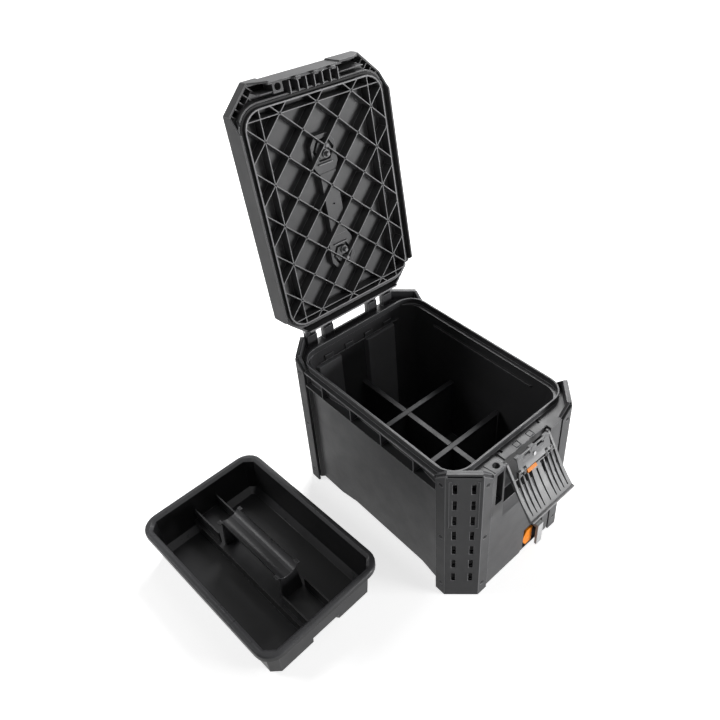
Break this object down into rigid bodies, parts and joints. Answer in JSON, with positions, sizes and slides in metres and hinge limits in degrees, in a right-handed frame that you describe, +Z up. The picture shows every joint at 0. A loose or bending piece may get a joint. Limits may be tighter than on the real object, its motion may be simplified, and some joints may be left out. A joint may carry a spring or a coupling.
{
  "type": "toolbox",
  "caption": "Moulded black toolbox with slotted corner guards, open hinged lid, front pull latch, loose dividers and a lift-out tray beside it.",
  "frame": {"origin": "on the floor under the middle of the box, on the underside of its cross rail", "axes": "+X to the right of someone facing the latch, +Y towards the hinge, +Z up"},
  "size_m": [0.5856, 0.5539, 0.7283],
  "materials": {
    "shell": "fine moulded grain",
    "guard": "fine moulded grain",
    "lid": "fine moulded grain",
    "rubber": "matte",
    "latch": "satin",
    "hook": "satin",
    "orange": "satin",
    "pale": "satin",
    "handle": "fine moulded grain",
    "divider": "satin",
    "tray": "satin",
    "steel": "bright",
    "dark_steel": "blackened"
  },
  "bodies": {
    "box": {"box_body": "shell", "corner_guard_front_left": "guard", "guard_screw_front_left_1": "dark_steel", "guard_screw_front_left_2": "dark_steel", "guard_screw_front_left_3": "dark_steel", "guard_screw_front_left_4": "dark_steel", "guard_screw_front_left_5": "dark_steel", "guard_screw_front_left_6": "dark_steel", "corner_guard_front_right": "guard", "guard_screw_front_right_1": "dark_steel", "guard_screw_front_right_2": "dark_steel", "guard_screw_front_right_3": "dark_steel", "guard_screw_front_right_4": "dark_steel", "guard_screw_front_right_5": "dark_steel", "guard_screw_front_right_6": "dark_steel", "corner_guard_rear_left": "guard", "guard_screw_rear_left_1": "dark_steel", "guard_screw_rear_left_2": "dark_steel", "guard_screw_rear_left_3": "dark_steel", "guard_screw_rear_left_4": "dark_steel", "guard_screw_rear_left_5": "dark_steel", "guard_screw_rear_left_6": "dark_steel", "corner_guard_rear_right": "guard", "guard_screw_rear_right_1": "dark_steel", "guard_screw_rear_right_2": "dark_steel", "guard_screw_rear_right_3": "dark_steel", "guard_screw_rear_right_4": "dark_steel", "guard_screw_rear_right_5": "dark_steel", "guard_screw_rear_right_6": "dark_steel", "hinge_pin_left": "steel", "latch_lever_pin_left": "steel", "hinge_pin_right": "steel", "latch_lever_pin_right": "steel", "stack_lock_pin": "steel"},
    "lid": {"lid_shell": "lid", "lid_seal": "rubber", "lid_strike": "lid", "strike_screw_left": "steel", "strike_screw_right": "steel", "handle_mount_front": "lid", "handle_pin_front": "steel", "handle_mount_rear": "lid", "handle_pin_rear": "steel"},
    "carry_handle": {"carry_handle": "handle"},
    "latch_lever": {"latch_lever": "latch", "latch_hook_pin": "dark_steel"},
    "latch_hook": {"latch_hook_plate": "hook", "hook_plate_screw": "dark_steel"},
    "latch_release_tab": {"latch_release_tab": "orange"},
    "stack_lock_tab": {"stack_lock_tab": "pale"},
    "stack_lock_catch": {"stack_lock_catch": "orange"},
    "long_divider": {"long_divider": "divider"},
    "cross_divider_front": {"cross_divider_front": "divider"},
    "cross_divider_rear": {"cross_divider_rear": "divider"},
    "tray": {"tray_body": "tray", "tray_grip": "tray"}
  },
  "joints": [
    {"name": "lid_hinge", "type": "hinge", "parent": "box", "child": "lid", "pos_m": [0, 0.207, 0.306], "axis": [1, 0, 0], "range_deg": [0, 98.4]},
    {"name": "latch_swing", "type": "hinge", "parent": "box", "child": "latch_lever", "pos_m": [0, -0.2105, 0.268], "axis": [1, 0, 0], "range_deg": [0, 35]},
    {"name": "hook_swing", "type": "hinge", "parent": "latch_lever", "child": "latch_hook", "pos_m": [0, -0.22664, 0.25611], "axis": [1, 0, 0], "range_deg": [-21.69, 0]},
    {"name": "release_press", "type": "slide", "parent": "latch_lever", "child": "latch_release_tab", "axis": [0, 0.8192, -0.5736], "range_m": [0, 0.002], "stiffness_N_per_m": 400},
    {"name": "stack_lock_pull", "type": "hinge", "parent": "box", "child": "stack_lock_tab", "pos_m": [0.045, -0.2075, 0.0515], "axis": [-1, 0, 0], "range_deg": [0, 22]},
    {"name": "stack_catch_draw", "type": "slide", "parent": "box", "child": "stack_lock_catch", "axis": [0, 1, 0], "range_m": [0, 0.0051]},
    {"name": "handle_fold", "type": "hinge", "parent": "lid", "child": "carry_handle", "pos_m": [0, 0.24238, 0.51002], "axis": [0, 0.1461, 0.9893], "range_deg": [0, 90]},
    {"name": "tray_lift", "type": "slide", "parent": "box", "child": "tray", "axis": [0, 0, 1], "range_m": [0, 0.15]},
    {"name": "long_divider_lift", "type": "slide", "parent": "box", "child": "long_divider", "axis": [0, 0, 1], "range_m": [0, 0.045]},
    {"name": "cross_divider_front_lift", "type": "slide", "parent": "long_divider", "child": "cross_divider_front", "axis": [0, 0, 1], "range_m": [0, 0.08]},
    {"name": "cross_divider_rear_lift", "type": "slide", "parent": "long_divider", "child": "cross_divider_rear", "axis": [0, 0, 1], "range_m": [0, 0.08]}
  ],
  "couplings": [
    {"joint": "hook_swing", "follows": "latch_swing", "ratio": -0.61819},
    {"joint": "stack_catch_draw", "follows": "stack_lock_pull", "m_per_rad": 0.013022}
  ]
}
